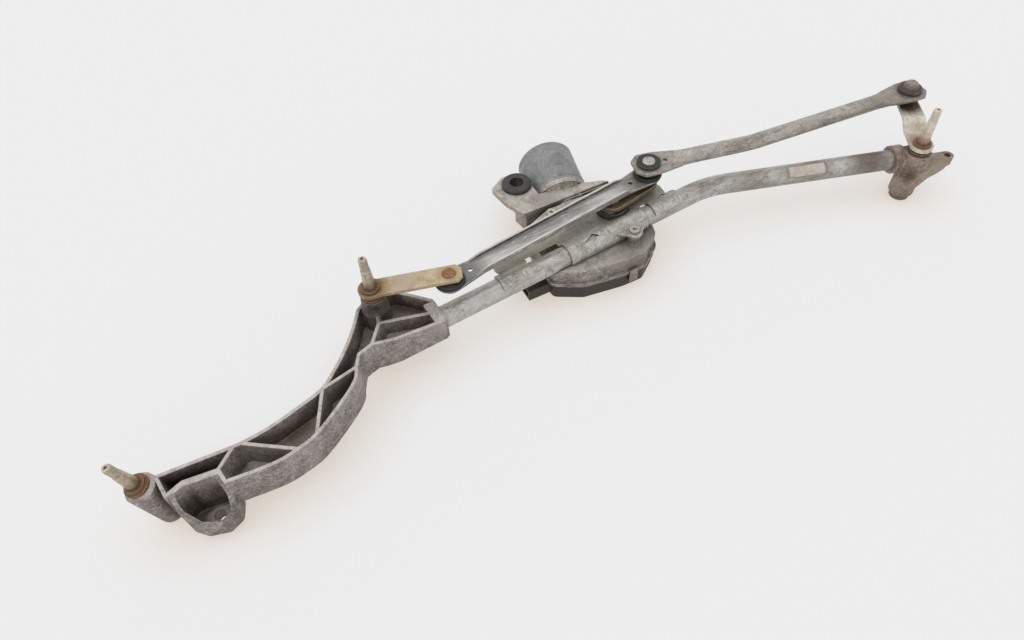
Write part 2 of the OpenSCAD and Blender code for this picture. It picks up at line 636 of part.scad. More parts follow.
module left_rings() color("#8a6a45") at_pt(mid_c) {
  translate([0, 0, lever_z - 6.7]) ring(11, 3.2);
  translate([0, 0, lever_z - 3.5]) ring(9, 3.5);
  translate([0, 0, lever_z + lever_t]) ring(9.5, 2.5);
}

module ring(r, h) difference() {
  cylinder(r = r, h = h);
  translate([0, 0, -1]) cylinder(r = shaft_r + press, h = h + 2);
}

// Joggled lever: low at the spindle, stepped up to the ball
rl_d = norm(ball_rt - right_c);
rl_a = atan2(ball_rt[1] - right_c[1], ball_rt[0] - right_c[0]);
rl_up = 8;
module right_lever() color("#cfc8b4") difference() {
  intersection() {
    translate([0, 0, rlever_z - 1]) linear_extrude(30)
      bar2(right_c, ball_rt, lever_w / 2 + 2, lever_w / 2 + 1);
    at_pt(right_c, rlever_z) rotate([0, 0, rl_a]) translate([0, 40, 0]) rotate([90, 0, 0]) linear_extrude(80)
      polygon([[-30, 0], [26, 0], [42, rl_up], [rl_d + 30, rl_up], [rl_d + 30, rl_up + lever_t],
        [40, rl_up + lever_t], [24, lever_t], [-30, lever_t]]);
  }
  at_pt(right_c, rlever_z - 1) cylinder(r = shaft_r + press, h = 20);
  at_pt(ball_rt, rlever_z - 1) cylinder(r = 4.5 + press, h = 30);
}

module right_spindle() color("#b5a890") at_pt(right_c) {
  translate([0, 0, 3]) cylinder(r = shaft_r, h = rlever_z + lever_t - 3);
  translate([0, 0, rlever_z + lever_t]) spindle_top(46);
}

module right_rings() color("#8a6a45") at_pt(right_c) {
  translate([0, 0, rlever_z - 5.7]) ring(11, 3);
  translate([0, 0, rlever_z - 2.7]) ring(9, 2.7);
  translate([0, 0, rlever_z + lever_t]) ring(9.5, 2.5);
}

module right_ball_stud() color("#c2beb6") at_pt(ball_rt)
  ball_stud(rlever_z + rl_up + lever_t, rod_z - rlever_z - rl_up - lever_t, lever_t);

// Right link: bent rod with flattened ends
kink = [240, 31];
r1_d = norm(kink - pin_c);
r1_a = atan2(kink[1] - pin_c[1], kink[0] - pin_c[0]);
r2_d = norm(ball_rt - kink);
r2_a = atan2(ball_rt[1] - kink[1], ball_rt[0] - kink[0]);
rod_r = rod_d / 2;
kink_r = 120;
kink_t = kink_r * tan((r2_a - r1_a) / 2);
module on_kink(a) { translate([kink[0], kink[1], rod_z]) rotate([0, 0, a]) children(); }

module right_link() color("#97928b") difference() {
  union() {
    on_kink(r1_a) rod_x(rod_r, -r1_d + 48, 0.5 - kink_t);
    on_kink(r2_a) rod_x(rod_r, kink_t - 0.5, r2_d - 48);
    on_kink(r1_a) translate([-kink_t, kink_r, 0]) rotate([0, 0, -90])
      rotate_extrude(angle = r2_a - r1_a, $fn = 96) translate([kink_r, 0]) circle(r = rod_r - thin, $fn = 48);
    on_kink(r1_a) rod_end(-r1_d);
    on_kink(r2_a + 180) rod_end(-r2_d);
  }
  at_pt(pin_c, rod_z - 10) cylinder(r = 10, h = 20);
  at_pt(ball_rt, rod_z - 10) cylinder(r = 10, h = 20);
  on_kink(r1_a) translate([-r1_d + 19, 0, -5]) cylinder(r = 2.5, h = 20);
}

// Flattened end of the rod: a sheet eye that swells into the round bar
module rod_end(x) {
  translate([x, 0, -1.75]) linear_extrude(3.5) polygon([[-9, -17], [9, -17], [35, -12], [35, 12], [9, 17],
    [-9, 17], [-17, 9], [-17, -9]]);
  hull() {
    translate([x + 31, -11.7, -1.6]) cube([1, 23.4, 3.2]);
    translate([x + 48, 0, 0]) rotate([0, 90, 0]) cylinder(r = rod_r - 0.2, h = 3);
  }
}

module right_link_sockets() color("#2b2828") {
  at_pt(pin_c) difference() {
    union() {
      translate([0, 0, 84]) cylinder(r = 10 - press, h = 11.5);
      translate([0, 0, 84]) cylinder(r1 = 13.5, r2 = 15, h = rod_z - 1.75 - 84);
      translate([0, 0, rod_z + 1.75]) cylinder(r = 13, h = 2.75);
    }
    translate([0, 0, 83]) cylinder(r = 7 + press, h = 20);
  }
  at_pt(ball_rt) difference() {
    union() {
      translate([0, 0, rlever_z + rl_up + lever_t + 2]) cylinder(r = 10 - press, h = 12);
      translate([0, 0, rod_z + 1.75]) cylinder(r = 13, h = 4);
      translate([0, 0, rod_z + 5.75]) cylinder(r1 = 10, r2 = 7.5, h = 4);
    }
    translate([0, 0, rod_z]) sphere(r = ball_r + 0.3);
    translate([0, 0, rlever_z]) cylinder(r = 6, h = rod_z - rlever_z);
  }
}

module upper_ball_stud() color("#c9c6c0") at_pt(pin_c, 83) {
  cylinder(r = 7, h = 13);
  translate([0, 0, 13]) cylinder(r1 = 7, r2 = 6, h = 1);
}

module idle_spindle() color("#b5a890") on_idle() {
  translate([0, 0, -51]) cylinder(r = shaft_r, h = 57);
  translate([0, 0, 6]) spindle_top(36);
}

module idle_rings() color("#8a6a45") on_idle() {
  translate([0, 0, 0.3]) ring(11, 2.7);
  translate([0, 0, 3]) ring(9, 3);
}

left_bracket();
frame_tube();
right_bracket();
motor_plate();
gear_housing();
gear_cover();
cover_clips();
connector_pins();
circuit_board();
motor_can();
magnets();
brush_holder();
rear_bush();
grommet();
plate_screws();
motor_screws();
output_bush();
shaft_seal();
left_bush();
right_bush();
idle_bush();
armature_shaft();
armature_core();
commutator();
worm_wheel();
output_shaft();
crank_arm();
crank_nut();
lower_ball_stud();
left_link();
left_link_sockets();
lever_ball_stud();
left_lever();
left_spindle();
lever_rivet();
left_rings();
right_lever();
right_spindle();
right_ball_stud();
right_rings();
right_link();
right_link_sockets();
upper_ball_stud();
idle_spindle();
idle_rings();
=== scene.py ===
import math

import bpy
from mathutils import Matrix, Vector


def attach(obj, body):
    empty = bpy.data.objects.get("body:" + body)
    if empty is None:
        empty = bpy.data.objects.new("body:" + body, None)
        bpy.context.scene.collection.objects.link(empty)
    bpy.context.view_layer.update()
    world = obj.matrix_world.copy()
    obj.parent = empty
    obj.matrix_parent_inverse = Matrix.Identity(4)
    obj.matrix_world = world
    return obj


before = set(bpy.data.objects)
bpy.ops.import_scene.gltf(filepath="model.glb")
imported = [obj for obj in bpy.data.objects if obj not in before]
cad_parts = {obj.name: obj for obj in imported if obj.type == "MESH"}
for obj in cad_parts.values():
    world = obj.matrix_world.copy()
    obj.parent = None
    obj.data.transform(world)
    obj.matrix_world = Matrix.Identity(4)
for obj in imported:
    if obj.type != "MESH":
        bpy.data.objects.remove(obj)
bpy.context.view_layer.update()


# Left bracket: one aluminium die casting, with drafted pockets between thin ribs, bosses for two spindles
# and an open mounting lug. The tube is crimped on its spigot. Its skin is dull and oxidised, and the rims are
# rubbed pale. Its upward faces carry painted light, and it is darker towards the bottom. Dried brown dirt,
# deepened with painted shade on the walls, lies in the pockets and the lug, and the boss under the lever is
# painted dark with rust and with the lever's shade.
MM_PER_M = 1000


def linear(hex_code):
    """Turns an sRGB hex code into a linear colour."""
    srgb = [int(hex_code[i:i + 2], 16) / 255 for i in (1, 3, 5)]
    rgb = [c / 12.92 if c <= 0.04045 else ((c + 0.055) / 1.055) ** 2.4 for c in srgb]
    return (*rgb, 1.0)


def add(material, kind, sockets, **settings):
    """Adds a node with its settings, values and links."""
    node = material.node_tree.nodes.new(kind)
    for name, value in settings.items():
        setattr(node, name, value)
    for name, value in sockets.items():
        if isinstance(value, bpy.types.NodeSocket):
            material.node_tree.links.new(value, node.inputs[name])
        else:
            node.inputs[name].default_value = value
    return node


def weathered(name, colour, rubbed_and_lit, grime_and_shade, metallic, roughness, patch_mm, grit_mm, wear=0.6, shade_and_dirt=0.6,
              hollow_mm=18, lengthwise=1.0, relief_mm=0.3, grain=0.3, painted_top_light=0.0, crown_mm=None,
              darker_below=None, marks=(), pools=()):
    """Skin with clouds, blots, scuffs and grit, dirt and painted shade in its hollows and under nearby parts,
    painted light on its upward faces, marks and worn edges.

    Darkening towards the bottom is given as the height up to which it is full, the height where it ends, and
    its strength. A mark is a centre, a radius, a colour and a strength; most marks are stains, and some are
    painted shade or a painted highlight. A pool is a mark that lies only in a hollow. Heights, centres and
    radii are in mm. Real grit is finer than grit_mm. It is drawn this coarse to show.
    """
    edge_width, crown_depth = 0.0011, 0.0006
    material = bpy.data.materials.new(name)
    material.use_nodes = True
    shader = material.node_tree.nodes["Principled BSDF"]
    place = add(material, "ShaderNodeTexCoord", {}).outputs["Object"]
    along = add(material, "ShaderNodeVectorMath", {
        0: place, 1: (lengthwise, 1.0, 1.0)}, operation="MULTIPLY").outputs["Vector"]
    patch, blot, scuff, grit = [
        add(material, "ShaderNodeTexNoise", {
            "Vector": space, "Scale": MM_PER_M / size_mm, "Detail": detail, "Roughness": 0.65,
            "Distortion": distortion}).outputs["Fac"]
        for space, size_mm, detail, distortion in (
            (along, patch_mm, 7.0, 0.5), (place, 0.45 * patch_mm, 5.0, 0.9),
            (along, 0.22 * patch_mm, 4.0, 1.6), (place, grit_mm, 3.0, 0.0))]

    def layer(under, over, *masks):
        """Lays a colour over another. Each mask is a value, its start and end, and the shares there."""
        amount = None
        for value, start, end, least, most in masks:
            mask = add(material, "ShaderNodeMapRange", {
                "Value": value, "From Min": start, "From Max": end,
                "To Min": least, "To Max": most}).outputs[0]
            amount = mask if amount is None else add(
                material, "ShaderNodeMath", {0: amount, 1: mask}, operation="MULTIPLY").outputs[0]
        return add(material, "ShaderNodeMix", {
            0: amount, 6: under, 7: over}, data_type="RGBA").outputs[2]

    bare, worn_and_lit, soiled_and_shaded = linear(colour), linear(rubbed_and_lit), linear(grime_and_shade)
    skin = layer(bare, soiled_and_shaded, (patch, 0.46, 0.62, 0.0, 0.75))
    skin = layer(skin, soiled_and_shaded, (blot, 0.54, 0.64, 0.0, 0.65))
    skin = layer(skin, worn_and_lit, (scuff, 0.53, 0.64, 0.0, 0.7))
    speckle = layer(soiled_and_shaded, worn_and_lit, (grit, 0.36, 0.64, 0.0, 1.0))
    skin = add(material, "ShaderNodeMix", {0: grain, 6: skin, 7: speckle}, data_type="RGBA").outputs[2]
    # Dirt and painted shade: the soiled colour darkens hollows and faces that lie close under other parts.
    openness = add(material, "ShaderNodeAmbientOcclusion", {
        "Distance": hollow_mm / MM_PER_M}, samples=8).outputs["AO"]
    shade_and_dirt_mask = add(material, "ShaderNodeMath", {
        0: scuff, 1: 0.3, 2: openness}, operation="MULTIPLY_ADD").outputs[0]
    skin = layer(skin, soiled_and_shaded, (shade_and_dirt_mask, 1.05, 0.5, 0.0, shade_and_dirt))
    true_normal = add(material, "ShaderNodeNewGeometry", {}).outputs["Normal"]
    level = add(material, "ShaderNodeSeparateXYZ", {"Vector": place}).outputs["Z"]
    # Painted light: faces that look upward are lightened towards the rubbed colour, as if lit from above.
    if painted_top_light:
        upward = add(material, "ShaderNodeSeparateXYZ", {"Vector": true_normal}).outputs["Z"]
        skin = layer(skin, worn_and_lit, (upward, 0.8, 0.98, 0.0, painted_top_light), (patch, 0.35, 0.6, 1.0, 0.3))
    if crown_mm:
        crown = crown_mm / MM_PER_M
        skin = layer(skin, worn_and_lit, (level, crown - crown_depth, crown, 0.0, wear),
                     (scuff, 0.34, 0.56, 0.25, 1.0))
    # Darker towards the bottom: below a given height the soiled colour takes over. On the tube and the right
    # link this is painted shade on their undersides.
    if darker_below:
        full_mm, end_mm, strength = darker_below
        skin = layer(skin, soiled_and_shaded, (level, end_mm / MM_PER_M, full_mm / MM_PER_M, 0.0, strength),
                     (blot, 0.36, 0.56, 0.0, 1.0))
    # Marks and pools: most are stains and dirt. Some stand for painted shade, and one is a painted highlight.
    for sheltered, spots in ((False, marks), (True, pools)):
        for centre_mm, radius_mm, mark_colour, strength in spots:
            radius = radius_mm / MM_PER_M
            distance = add(material, "ShaderNodeVectorMath", {
                0: place, 1: Vector(centre_mm) / MM_PER_M}, operation="DISTANCE").outputs["Value"]
            broken = add(material, "ShaderNodeMath", {
                0: patch, 1: 0.8 * radius, 2: distance}, operation="MULTIPLY_ADD").outputs[0]
            masks = [(broken, 1.4 * radius, 0.8 * radius, 0.0, strength)]
            if sheltered:
                masks.append((openness, 0.97, 0.8, 0.0, 1.0))
            skin = layer(skin, linear(mark_colour), *masks)
    soft_normal = add(material, "ShaderNodeBevel", {"Radius": edge_width}, samples=6).outputs["Normal"]
    turn = add(material, "ShaderNodeVectorMath", {
        0: soft_normal, 1: true_normal}, operation="DOT_PRODUCT").outputs["Value"]
    skin = layer(skin, worn_and_lit, (turn, 0.99, 0.86, 0.0, wear), (scuff, 0.3, 0.55, 0.0, 1.0))
    height = add(material, "ShaderNodeMath", {
        0: scuff, 1: 0.5, 2: grit}, operation="MULTIPLY_ADD").outputs[0]
    relief = add(material, "ShaderNodeBump", {
        "Height": height, "Strength": 0.5, "Distance": relief_mm / MM_PER_M,
        "Normal": soft_normal}).outputs["Normal"]
    dullness = add(material, "ShaderNodeMapRange", {
        "Value": patch, "From Min": 0.3, "From Max": 0.7,
        "To Min": roughness - 0.08, "To Max": roughness + 0.14}).outputs[0]
    shader.inputs["Metallic"].default_value = metallic
    for socket, output in (("Base Color", skin), ("Normal", relief), ("Roughness", dullness)):
        material.node_tree.links.new(output, shader.inputs[socket])
    return material


def round_edges(solid, round_mm):
    """Rounds the sharp edges of a solid."""
    rounding = solid.modifiers.new("rounded edges", "BEVEL")
    rounding.width = round_mm / MM_PER_M
    rounding.segments = 2
    rounding.limit_method = "ANGLE"
    rounding.angle_limit = math.radians(40)


def dress(node, material, round_mm=0.0):
    """Gives a solid its material, and rounds its edges."""
    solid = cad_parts[node]
    solid.data.materials.clear()
    solid.data.materials.append(material)
    if round_mm:
        round_edges(solid, round_mm)


# The first mark, on the boss under the lever, is rust with painted shade from the lever. The pools are dried
# dirt with painted shade on the pockets' walls.
cast_aluminium = weathered(
    "die-cast aluminium", colour="#948a86", rubbed_and_lit="#d2cbc6", grime_and_shade="#50423c", metallic=0.3,
    roughness=0.48, patch_mm=24, grit_mm=1.5, wear=0.5, shade_and_dirt=0.5, relief_mm=0.5, grain=0.36, painted_top_light=0.5,
    crown_mm=59.4, darker_below=(22, 52, 0.6), marks=(((-208, 41, 70), 28, "#3a2d26", 1.0),),
    pools=(((-412, -50, 30), 30, "#3d2c24", 0.9), ((-408, -64, 42), 16, "#3d2c24", 0.8),
           ((-180, 46, 32), 30, "#4a3428", 0.95), ((-160, 36, 34), 28, "#4a3428", 0.9),
           ((-322, -44, 38), 26, "#564235", 0.8), ((-436, -40, 34), 30, "#3d2c24", 0.9),
           ((-262, -20, 40), 24, "#574b45", 0.7), ((-408, -77, 14), 13, "#b5ada6", 0.9)))
dress("left_bracket", cast_aluminium, round_mm=0.7)

# Frame tube: drawn steel with a galvanised skin, bent once, crimped on the bracket's spigot and held in the
# saddles of the motor plate. The zinc is pale, with dull smudges along the draw, and painted shade darkens
# its lower half.
galvanised_tube = weathered(
    "galvanised steel tube", colour="#c4c1bc", rubbed_and_lit="#dfddd8", grime_and_shade="#766c63", metallic=0.45,
    roughness=0.4, patch_mm=16, grit_mm=1.5, lengthwise=0.3, grain=0.22, darker_below=(37, 55, 0.7),
    marks=(((372, -22, 52), 34, "#5e4d42", 0.75), ((300, 0, 46), 40, "#857a71", 0.45),
            ((235, 20, 40), 34, "#80776e", 0.45), ((-100, 10, 52), 40, "#c6c3be", 0.4)))
dress("frame_tube", galvanised_tube)


def piece(name, points_mm, faces, material, body, smooth=True):
    """Makes a mesh of its own that rides on a body."""
    mesh = bpy.data.meshes.new(name)
    mesh.from_pydata([Vector(point) / MM_PER_M for point in points_mm], [], faces)
    mesh.materials.append(material)
    mesh.polygons.foreach_set("use_smooth", [smooth] * len(mesh.polygons))
    made = bpy.data.objects.new(name, mesh)
    bpy.context.scene.collection.objects.link(made)
    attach(made, body)
    return made


# Tube label: blank slip of uncoated paper, glued round the upper front of the tube. It has yellowed, with
# faint clouds and no shine. Its ends are in mm from the tube's bend, and its wrap is in degrees.
LABEL_START, LABEL_END = 91.0, 139.0
LABEL_LOW, LABEL_HIGH = 20.0, 88.0
LABEL_INNER, LABEL_OUTER = 11.53, 11.7
TUBE_CORNER, TUBE_TURN = Vector((190.0, 35.0, 46.0)), math.atan2(-70.5, 217.0)
COLUMNS, ROWS = 12, 16
label_points, label_faces = [], []
for radius in (LABEL_INNER, LABEL_OUTER):
    for i in range(COLUMNS + 1):
        for j in range(ROWS + 1):
            reach = LABEL_START + (LABEL_END - LABEL_START) * i / COLUMNS
            angle = math.radians(LABEL_LOW + (LABEL_HIGH - LABEL_LOW) * j / ROWS)
            local = Vector((reach, -radius * math.cos(angle), radius * math.sin(angle)))
            label_points.append(TUBE_CORNER + Matrix.Rotation(TUBE_TURN, 3, "Z") @ local)
layer_size = (COLUMNS + 1) * (ROWS + 1)
for i in range(COLUMNS):
    for j in range(ROWS):
        a, b = i * (ROWS + 1) + j, (i + 1) * (ROWS + 1) + j
        label_faces.append((a, a + 1, b + 1, b))
        label_faces.append((layer_size + a, layer_size + b, layer_size + b + 1, layer_size + a + 1))
border = ([i * (ROWS + 1) for i in range(COLUMNS + 1)]
          + [COLUMNS * (ROWS + 1) + j for j in range(1, ROWS + 1)]
          + [i * (ROWS + 1) + ROWS for i in range(COLUMNS - 1, -1, -1)] + list(range(ROWS - 1, 0, -1)))
for a, b in zip(border, border[1:] + border[:1]):
    label_faces.append((a, b, layer_size + b, layer_size + a))
yellowed_paper = weathered(
    "yellowed label paper", colour="#cdc3b6", rubbed_and_lit="#ded6cb", grime_and_shade="#a3968a", metallic=0.0,
    roughness=0.6, patch_mm=12, grit_mm=0.8, wear=0.3, relief_mm=0.05)
piece("tube_label", label_points, label_faces, yellowed_paper, "frame")

# Right bracket: small aluminium casting on the end of the tube, with the boss of the right spindle, a foot
# and a pointed ear. Dirt and rust from the spindle have turned it brown, and its edges show pale metal.
dirty_casting = weathered(
    "dirty cast aluminium", colour="#a08d7e", rubbed_and_lit="#c8b8aa", grime_and_shade="#49392f", metallic=0.25,
    roughness=0.55, patch_mm=14, grit_mm=1.3, hollow_mm=14, grain=0.36,
    marks=(((414, -56, 6), 22, "#6d615a", 0.6), ((396, -66, 40), 20, "#33271f", 0.95),
            ((440, -54, 46), 24, "#91806f", 0.6)))
dress("right_bracket", dirty_casting, round_mm=0.8)


def loft(name, sections_mm, material, body, round_mm):
    """Closed solid between outlines that have the same number of points."""
    count = len(sections_mm[0])
    points = [point for section in sections_mm for point in section]
    faces = [tuple(range(count - 1, -1, -1)), tuple(range(len(points) - count, len(points)))]
    for first in range(0, len(points) - count, count):
        for j in range(count):
            a, b = first + j, first + (j + 1) % count
            faces.append((a, b, b + count, a + count))
    round_edges(piece(name, points, faces, material, body, smooth=False), round_mm)


# Right ear's front: one face of the same casting, from the ridge over its web down to its lower edge. Each
# section gives its place along the ear and the heights of its ridge, its brow and its lower edge.
EAR_BACK, EAR_RIDGE, EAR_FRONT = -60.0, -61.0, -65.6
EAR_UNDERCUT = 6
ear_outlines = ((416, 58, 46, 26), (428, 57.5, 46, 27), (446, 50, 45, 28.5), (458, 45.4, 44.2, 32))
ear_sections = [
    [(x, EAR_BACK, top), (x, EAR_RIDGE, top), (x, EAR_FRONT, brow), (x, EAR_FRONT, low),
     (x, EAR_BACK, low - EAR_UNDERCUT)]
    for x, top, brow, low in ear_outlines]
loft("right_ear_face", ear_sections, dirty_casting, "frame", round_mm=1.2)

# Motor plate: steel sheet, pressed and zinc-plated, with three saddles bent over the tube. It is screwed
# to the gear housing. The plating is pale and yellowed in places, and it is dark along its folds and under
# the left link, with dirt and painted shade.
zinc_sheet = weathered(
    "zinc-plated sheet steel", colour="#c0bfba", rubbed_and_lit="#e0dfda", grime_and_shade="#776e63", metallic=0.5,
    roughness=0.4, patch_mm=18, grit_mm=1.4, shade_and_dirt=0.85, hollow_mm=26,
    marks=(((-30, 40, 55), 60, "#bfb6a2", 0.55), ((110, 50, 56), 34, "#a59a88", 0.4)))
dress("motor_plate", zinc_sheet)

# Gear housing: aluminium die casting round the worm and its wheel, with a rim for the cover, a flange for
# the motor and an ear for the grommet. Its skin is blotched with pale oxide and brown dirt. Its upward faces
# carry painted light, its hollows hold dirt and painted shade, and it is darker towards the bottom.
blotched_casting = weathered(
    "blotched die-cast aluminium", colour="#a59d94", rubbed_and_lit="#dad4cd", grime_and_shade="#53483e", metallic=0.3,
    roughness=0.5, patch_mm=16, grit_mm=1.5, wear=0.75, shade_and_dirt=0.7, hollow_mm=14, relief_mm=0.5, grain=0.36,
    painted_top_light=0.45, darker_below=(20, 44, 0.7),
    marks=(((60, -14, 26), 40, "#6f655b", 0.5), ((104, 12, 28), 34, "#4f453d", 0.7),
            ((10, 94, 50), 22, "#7d7268", 0.5)))
dress("gear_housing", blotched_casting, round_mm=0.6)

# Housing shoulder: part of the same casting, a level plateau with a rounded rim that closes the gap between
# the grommet's ear and the neck of the motor.
SHOULDER_LOW, SHOULDER_TOP = 50.0, 58.9
shoulder = ((-16, 86.5), (92, 86.5), (84, 92), (63, 99.5), (40, 103.5), (13, 107.5), (-16, 105))
loft("housing_shoulder", [[(x, y, z) for x, y in shoulder] for z in (SHOULDER_LOW, SHOULDER_TOP)],
     blotched_casting, "frame", round_mm=1.5)

# Gear cover: nylon moulding with the connector socket, held under the housing by spring clips, with the
# contacts and the board inside. Glass in the nylon leaves it matt and near black, and grey where rubbed.
black_nylon = weathered(
    "glass-filled nylon", colour="#242020", rubbed_and_lit="#4b4543", grime_and_shade="#392e26", metallic=0.0,
    roughness=0.5, patch_mm=12, grit_mm=1.1)
# Hardened clips have a dull grey shine, tinned contacts a yellow one, and the board's lacquer is green.
spring_steel = weathered(
    "spring steel", colour="#8f8a82", rubbed_and_lit="#c9c6be", grime_and_shade="#4c4037", metallic=0.7, roughness=0.4,
    patch_mm=9, grit_mm=1.0)
tinned_brass = weathered(
    "tinned brass", colour="#c9a24a", rubbed_and_lit="#e2cf95", grime_and_shade="#7d6331", metallic=0.9, roughness=0.3,
    patch_mm=6, grit_mm=1.0)
board_laminate = weathered(
    "green board laminate", colour="#2f5b3a", rubbed_and_lit="#4e7d57", grime_and_shade="#223f29", metallic=0.0,
    roughness=0.4, patch_mm=10, grit_mm=1.0)
dress("gear_cover", black_nylon, round_mm=0.6)
dress("cover_clips", spring_steel)
dress("connector_pins", tinned_brass)
dress("circuit_board", board_laminate)

# Motor can: deep-drawn steel, screwed to the housing's flange, with the magnets, the brush holder and the
# rear bush inside. Its passivated skin is an even grey with a soft shine and few marks.
drawn_can = weathered(
    "passivated drawn steel", colour="#8a8a8a", rubbed_and_lit="#adadac", grime_and_shade="#70706f", metallic=0.35,
    roughness=0.42, patch_mm=18, grit_mm=1.0, wear=0.5, shade_and_dirt=0.45, grain=0.18)
# Fired ferrite is dark and matt. Sintered bronze, of which all bushes are made, is brown and oily.
dark_ferrite = weathered(
    "ferrite", colour="#4b4a4c", rubbed_and_lit="#6b6a6c", grime_and_shade="#2e2d2f", metallic=0.0, roughness=0.6,
    patch_mm=10, grit_mm=1.2)
sintered_bronze = weathered(
    "sintered bronze", colour="#b08d57", rubbed_and_lit="#d1b27c", grime_and_shade="#6c5230", metallic=0.9, roughness=0.45,
    patch_mm=8, grit_mm=0.8)
dress("motor_can", drawn_can)
dress("magnets", dark_ferrite)
dress("brush_holder", black_nylon)
for node in ("rear_bush", "output_bush", "left_bush", "right_bush", "idle_bush"):
    dress(node, sintered_bronze)

# Grommet and shaft seal: moulded black rubber, pushed into the ear of the housing and round the output
# shaft. A dusty bloom greys it along the edges.
dusty_rubber = weathered(
    "moulded rubber", colour="#2f2d2d", rubbed_and_lit="#615e5c", grime_and_shade="#242120", metallic=0.0, roughness=0.5,
    patch_mm=12, grit_mm=1.1, wear=0.7, grain=0.2)
dress("grommet", dusty_rubber, round_mm=0.9)
dress("shaft_seal", dusty_rubber, round_mm=0.5)

# Screws and nut: headed steel with zinc plating, holding the plate, the motor and the crank. The heads are
# bright, and brown dirt and painted shade darken their recesses.
plated_screw = weathered(
    "zinc-plated screw steel", colour="#cbc4b9", rubbed_and_lit="#ece8e0", grime_and_shade="#7d6c57", metallic=0.8,
    roughness=0.32, patch_mm=7, grit_mm=0.9, shade_and_dirt=0.8, hollow_mm=5)
for node in ("plate_screws", "motor_screws", "crank_nut"):
    dress(node, plated_screw, round_mm=0.3)

# Armature and gears: a ground shaft with the worm, its iron core and commutator, and the moulded wheel on
# the output shaft, all inside the housings. Ground steel is bright, stacked iron dull, turned copper red
# and natural nylon cream.
ground_steel = weathered(
    "ground steel", colour="#c9c3bd", rubbed_and_lit="#ece8e4", grime_and_shade="#8a7f76", metallic=0.8, roughness=0.3,
    patch_mm=6, grit_mm=0.9)
stacked_iron = weathered(
    "stacked iron sheet", colour="#77706a", rubbed_and_lit="#9a948d", grime_and_shade="#4c4641", metallic=0.8,
    roughness=0.5, patch_mm=8, grit_mm=0.9)
turned_copper = weathered(
    "turned copper", colour="#a8663c", rubbed_and_lit="#cf9167", grime_and_shade="#6b3d22", metallic=1.0, roughness=0.35,
    patch_mm=8, grit_mm=0.9)
natural_nylon = weathered(
    "natural nylon", colour="#d9d2bf", rubbed_and_lit="#ece7da", grime_and_shade="#a99c80", metallic=0.0, roughness=0.45,
    patch_mm=12, grit_mm=1.2)
dress("armature_shaft", ground_steel)
dress("armature_core", stacked_iron)
dress("commutator", turned_copper)
dress("worm_wheel", natural_nylon)
dress("output_shaft", ground_steel)

# Crank arm: steel bar with a yellow passivated skin, held on the output shaft by its nut. Old grease has
# turned it brown, and the yellow shows along its edges.
greasy_crank = weathered(
    "yellow passivated crank steel", colour="#9c8961", rubbed_and_lit="#cabd98", grime_and_shade="#4d3a28", metallic=0.5,
    roughness=0.42, patch_mm=12, grit_mm=1.2, shade_and_dirt=0.8)
dress("crank_arm", greasy_crank, round_mm=0.5)

# Left link: channel pressed from galvanised sheet, with nylon ball sockets and steel ball studs. Its rims are
# rubbed bright, its upward faces carry painted light, long smudges run along it, and dirt and painted shade
# darken the channel.
galvanised_link = weathered(
    "galvanised sheet steel", colour="#8d8a86", rubbed_and_lit="#dcdad5", grime_and_shade="#423e3a", metallic=0.5,
    roughness=0.38, patch_mm=13, grit_mm=1.3, wear=0.9, shade_and_dirt=1.0, hollow_mm=9, grain=0.2, lengthwise=0.12,
    painted_top_light=0.75, crown_mm=81.6,
    marks=(((-118, 23, 76), 30, "#5f5d5c", 0.75), ((104, 54, 76), 32, "#7c7872", 0.6)))
# Moulded socket nylon is black with a soft gloss, and the polished balls are bright.
socket_nylon = weathered(
    "black socket nylon", colour="#201e1e", rubbed_and_lit="#4d4a48", grime_and_shade="#2b2624", metallic=0.0,
    roughness=0.36, patch_mm=10, grit_mm=1.0, grain=0.2)
polished_steel = weathered(
    "polished ball steel", colour="#c2beb6", rubbed_and_lit="#e0ddd7", grime_and_shade="#80786c", metallic=1.0,
    roughness=0.25, patch_mm=10, grit_mm=1.0)
dress("left_link", galvanised_link)
dress("left_link_sockets", socket_nylon, round_mm=0.5)
for node in ("lower_ball_stud", "lever_ball_stud", "right_ball_stud"):
    dress(node, polished_steel)


def turned(name, centre_mm, profiles_mm, material, body):
    """Rings about an upright axis, each turned from a closed profile of radii and heights."""
    around = 64
    points, faces = [], []
    for profile in profiles_mm:
        first, about = len(points), len(profile)
        for i in range(around):
            angle = 2 * math.pi * i / around
            a, b = first + i * about, first + (i + 1) % around * about
            for j, (reach, height) in enumerate(profile):
                points.append((centre_mm[0] + reach * math.cos(angle),
                               centre_mm[1] + reach * math.sin(angle), height))
                faces.append((a + j, b + j, b + (j + 1) % about, a + (j + 1) % about))
    piece(name, points, faces, material, body)


def bead(radius, height, thick):
    """Profile of a round bead."""
    sides = 8
    swells = [2 * math.pi * j / sides for j in range(sides)]
    return [(radius + thick * math.cos(swell), height + thick * math.sin(swell)) for swell in swells]


# Socket ribs: ridges round the rims of the left link's sockets, moulded with them in the same nylon. Each
# socket has two on its side, and the one under the lever has a third on top.
LEVER_BALL, CRANK_PIN, RIGHT_BALL = (-134.0, 21.0), (120.81, 56.75), (454.0, 14.0)
rim_ribs = (bead(15.1, 78.3, 0.8), bead(14.4, 80.3, 0.8))
turned("lever_socket_ribs", LEVER_BALL, (*rim_ribs, bead(11.5, 81.5, 0.6)),
       socket_nylon, "left_link")
turned("crank_socket_ribs", CRANK_PIN, rim_ribs, socket_nylon, "left_link")

